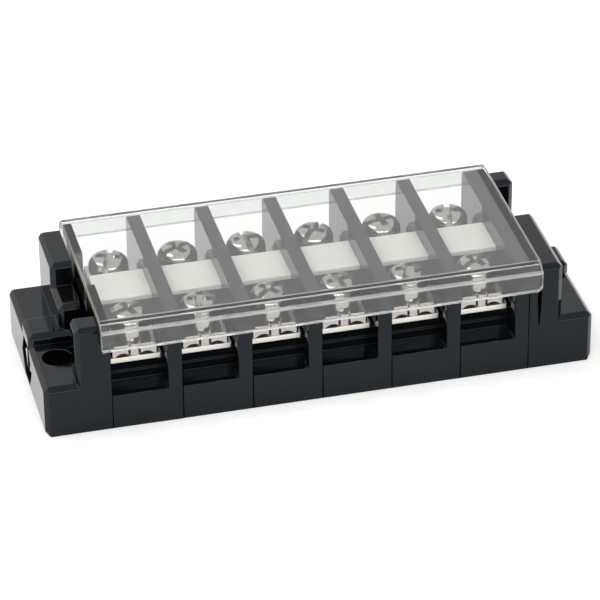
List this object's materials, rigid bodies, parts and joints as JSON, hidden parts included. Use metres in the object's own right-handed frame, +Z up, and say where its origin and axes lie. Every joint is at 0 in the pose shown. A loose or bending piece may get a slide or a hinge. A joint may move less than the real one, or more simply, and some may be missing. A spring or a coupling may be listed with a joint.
{
  "type": "barrier terminal strip",
  "caption": "Modular barrier terminal strip with screw clamps front and back, tall barriers between the poles, a marker strip and a clear lift-off cover.",
  "frame": {"origin": "centre of the mounting face", "axes": "+X along the strip towards the plain end plate, -Y the front, +Z up from the mounting face"},
  "size_m": [0.1106, 0.0436, 0.025],
  "materials": {
    "moulding": "moulded black thermosetting plastic, glossy",
    "nickel": "bright nickel plating on steel",
    "bar_plating": "satin tin plating on brass",
    "zinc_steel": "zinc plated steel",
    "marker": "white writable plastic",
    "clear_cover": "clear moulded plastic"
  },
  "bodies": {
    "base": {"end_plate_left": "moulding", "end_plate_right": "moulding", "pole_module_1": "moulding", "pole_module_2": "moulding", "pole_module_3": "moulding", "pole_module_4": "moulding", "pole_module_5": "moulding", "pole_module_6": "moulding", "terminal_bar_1": "bar_plating", "terminal_bar_2": "bar_plating", "terminal_bar_3": "bar_plating", "terminal_bar_4": "bar_plating", "terminal_bar_5": "bar_plating", "terminal_bar_6": "bar_plating", "tie_rod": "zinc_steel", "tie_rod_nuts": "zinc_steel"},
    "marker_strip": {"marker_strip": "marker"},
    "cover": {"cover": "clear_cover"},
    "clamp_front_1": {"clamp_plate_front_1": "nickel", "spring_washer_front_1": "nickel"},
    "screw_front_1": {"screw_front_1": "nickel"},
    "clamp_back_1": {"clamp_plate_back_1": "nickel", "spring_washer_back_1": "nickel"},
    "screw_back_1": {"screw_back_1": "nickel"},
    "clamp_front_2": {"clamp_plate_front_2": "nickel", "spring_washer_front_2": "nickel"},
    "screw_front_2": {"screw_front_2": "nickel"},
    "clamp_back_2": {"clamp_plate_back_2": "nickel", "spring_washer_back_2": "nickel"},
    "screw_back_2": {"screw_back_2": "nickel"},
    "clamp_front_3": {"clamp_plate_front_3": "nickel", "spring_washer_front_3": "nickel"},
    "screw_front_3": {"screw_front_3": "nickel"},
    "clamp_back_3": {"clamp_plate_back_3": "nickel", "spring_washer_back_3": "nickel"},
    "screw_back_3": {"screw_back_3": "nickel"},
    "clamp_front_4": {"clamp_plate_front_4": "nickel", "spring_washer_front_4": "nickel"},
    "screw_front_4": {"screw_front_4": "nickel"},
    "clamp_back_4": {"clamp_plate_back_4": "nickel", "spring_washer_back_4": "nickel"},
    "screw_back_4": {"screw_back_4": "nickel"},
    "clamp_front_5": {"clamp_plate_front_5": "nickel", "spring_washer_front_5": "nickel"},
    "screw_front_5": {"screw_front_5": "nickel"},
    "clamp_back_5": {"clamp_plate_back_5": "nickel", "spring_washer_back_5": "nickel"},
    "screw_back_5": {"screw_back_5": "nickel"},
    "clamp_front_6": {"clamp_plate_front_6": "nickel", "spring_washer_front_6": "nickel"},
    "screw_front_6": {"screw_front_6": "nickel"},
    "clamp_back_6": {"clamp_plate_back_6": "nickel", "spring_washer_back_6": "nickel"},
    "screw_back_6": {"screw_back_6": "nickel"}
  },
  "joints": [
    {"name": "cover_lift", "type": "slide", "parent": "base", "child": "cover", "axis": [0, 0, 1], "range_m": [0, 0.03]},
    {"name": "marker_strip_slide", "type": "slide", "parent": "base", "child": "marker_strip", "axis": [-1, 0, 0], "range_m": [0, 0.084]},
    {"name": "clamp_front_1_lift", "type": "slide", "parent": "base", "child": "clamp_front_1", "axis": [0, 0, 1], "range_m": [0, 0.0028]},
    {"name": "screw_front_1_turn", "type": "hinge", "parent": "clamp_front_1", "child": "screw_front_1", "pos_m": [-0.0364, -0.01, 0.017], "axis": [0, 0, 1], "range_deg": [0, 1440]},
    {"name": "clamp_back_1_lift", "type": "slide", "parent": "base", "child": "clamp_back_1", "axis": [0, 0, 1], "range_m": [0, 0.0028]},
    {"name": "screw_back_1_turn", "type": "hinge", "parent": "clamp_back_1", "child": "screw_back_1", "pos_m": [-0.0364, 0.01, 0.017], "axis": [0, 0, 1], "range_deg": [0, 1440]},
    {"name": "clamp_front_2_lift", "type": "slide", "parent": "base", "child": "clamp_front_2", "axis": [0, 0, 1], "range_m": [0, 0.0028]},
    {"name": "screw_front_2_turn", "type": "hinge", "parent": "clamp_front_2", "child": "screw_front_2", "pos_m": [-0.0224, -0.01, 0.017], "axis": [0, 0, 1], "range_deg": [0, 1440]},
    {"name": "clamp_back_2_lift", "type": "slide", "parent": "base", "child": "clamp_back_2", "axis": [0, 0, 1], "range_m": [0, 0.0028]},
    {"name": "screw_back_2_turn", "type": "hinge", "parent": "clamp_back_2", "child": "screw_back_2", "pos_m": [-0.0224, 0.01, 0.017], "axis": [0, 0, 1], "range_deg": [0, 1440]},
    {"name": "clamp_front_3_lift", "type": "slide", "parent": "base", "child": "clamp_front_3", "axis": [0, 0, 1], "range_m": [0, 0.0028]},
    {"name": "screw_front_3_turn", "type": "hinge", "parent": "clamp_front_3", "child": "screw_front_3", "pos_m": [-0.0084, -0.01, 0.017], "axis": [0, 0, 1], "range_deg": [0, 1440]},
    {"name": "clamp_back_3_lift", "type": "slide", "parent": "base", "child": "clamp_back_3", "axis": [0, 0, 1], "range_m": [0, 0.0028]},
    {"name": "screw_back_3_turn", "type": "hinge", "parent": "clamp_back_3", "child": "screw_back_3", "pos_m": [-0.0084, 0.01, 0.017], "axis": [0, 0, 1], "range_deg": [0, 1440]},
    {"name": "clamp_front_4_lift", "type": "slide", "parent": "base", "child": "clamp_front_4", "axis": [0, 0, 1], "range_m": [0, 0.0028]},
    {"name": "screw_front_4_turn", "type": "hinge", "parent": "clamp_front_4", "child": "screw_front_4", "pos_m": [0.0056, -0.01, 0.017], "axis": [0, 0, 1], "range_deg": [0, 1440]},
    {"name": "clamp_back_4_lift", "type": "slide", "parent": "base", "child": "clamp_back_4", "axis": [0, 0, 1], "range_m": [0, 0.0028]},
    {"name": "screw_back_4_turn", "type": "hinge", "parent": "clamp_back_4", "child": "screw_back_4", "pos_m": [0.0056, 0.01, 0.017], "axis": [0, 0, 1], "range_deg": [0, 1440]},
    {"name": "clamp_front_5_lift", "type": "slide", "parent": "base", "child": "clamp_front_5", "axis": [0, 0, 1], "range_m": [0, 0.0028]},
    {"name": "screw_front_5_turn", "type": "hinge", "parent": "clamp_front_5", "child": "screw_front_5", "pos_m": [0.0196, -0.01, 0.017], "axis": [0, 0, 1], "range_deg": [0, 1440]},
    {"name": "clamp_back_5_lift", "type": "slide", "parent": "base", "child": "clamp_back_5", "axis": [0, 0, 1], "range_m": [0, 0.0028]},
    {"name": "screw_back_5_turn", "type": "hinge", "parent": "clamp_back_5", "child": "screw_back_5", "pos_m": [0.0196, 0.01, 0.017], "axis": [0, 0, 1], "range_deg": [0, 1440]},
    {"name": "clamp_front_6_lift", "type": "slide", "parent": "base", "child": "clamp_front_6", "axis": [0, 0, 1], "range_m": [0, 0.0028]},
    {"name": "screw_front_6_turn", "type": "hinge", "parent": "clamp_front_6", "child": "screw_front_6", "pos_m": [0.0336, -0.01, 0.017], "axis": [0, 0, 1], "range_deg": [0, 1440]},
    {"name": "clamp_back_6_lift", "type": "slide", "parent": "base", "child": "clamp_back_6", "axis": [0, 0, 1], "range_m": [0, 0.0028]},
    {"name": "screw_back_6_turn", "type": "hinge", "parent": "clamp_back_6", "child": "screw_back_6", "pos_m": [0.0336, 0.01, 0.017], "axis": [0, 0, 1], "range_deg": [0, 1440]}
  ],
  "couplings": [
    {"joint": "screw_front_1_turn", "follows": "clamp_front_1_lift", "rad_per_m": 8976},
    {"joint": "screw_back_1_turn", "follows": "clamp_back_1_lift", "rad_per_m": 8976},
    {"joint": "screw_front_2_turn", "follows": "clamp_front_2_lift", "rad_per_m": 8976},
    {"joint": "screw_back_2_turn", "follows": "clamp_back_2_lift", "rad_per_m": 8976},
    {"joint": "screw_front_3_turn", "follows": "clamp_front_3_lift", "rad_per_m": 8976},
    {"joint": "screw_back_3_turn", "follows": "clamp_back_3_lift", "rad_per_m": 8976},
    {"joint": "screw_front_4_turn", "follows": "clamp_front_4_lift", "rad_per_m": 8976},
    {"joint": "screw_back_4_turn", "follows": "clamp_back_4_lift", "rad_per_m": 8976},
    {"joint": "screw_front_5_turn", "follows": "clamp_front_5_lift", "rad_per_m": 8976},
    {"joint": "screw_back_5_turn", "follows": "clamp_back_5_lift", "rad_per_m": 8976},
    {"joint": "screw_front_6_turn", "follows": "clamp_front_6_lift", "rad_per_m": 8976},
    {"joint": "screw_back_6_turn", "follows": "clamp_back_6_lift", "rad_per_m": 8976}
  ]
}
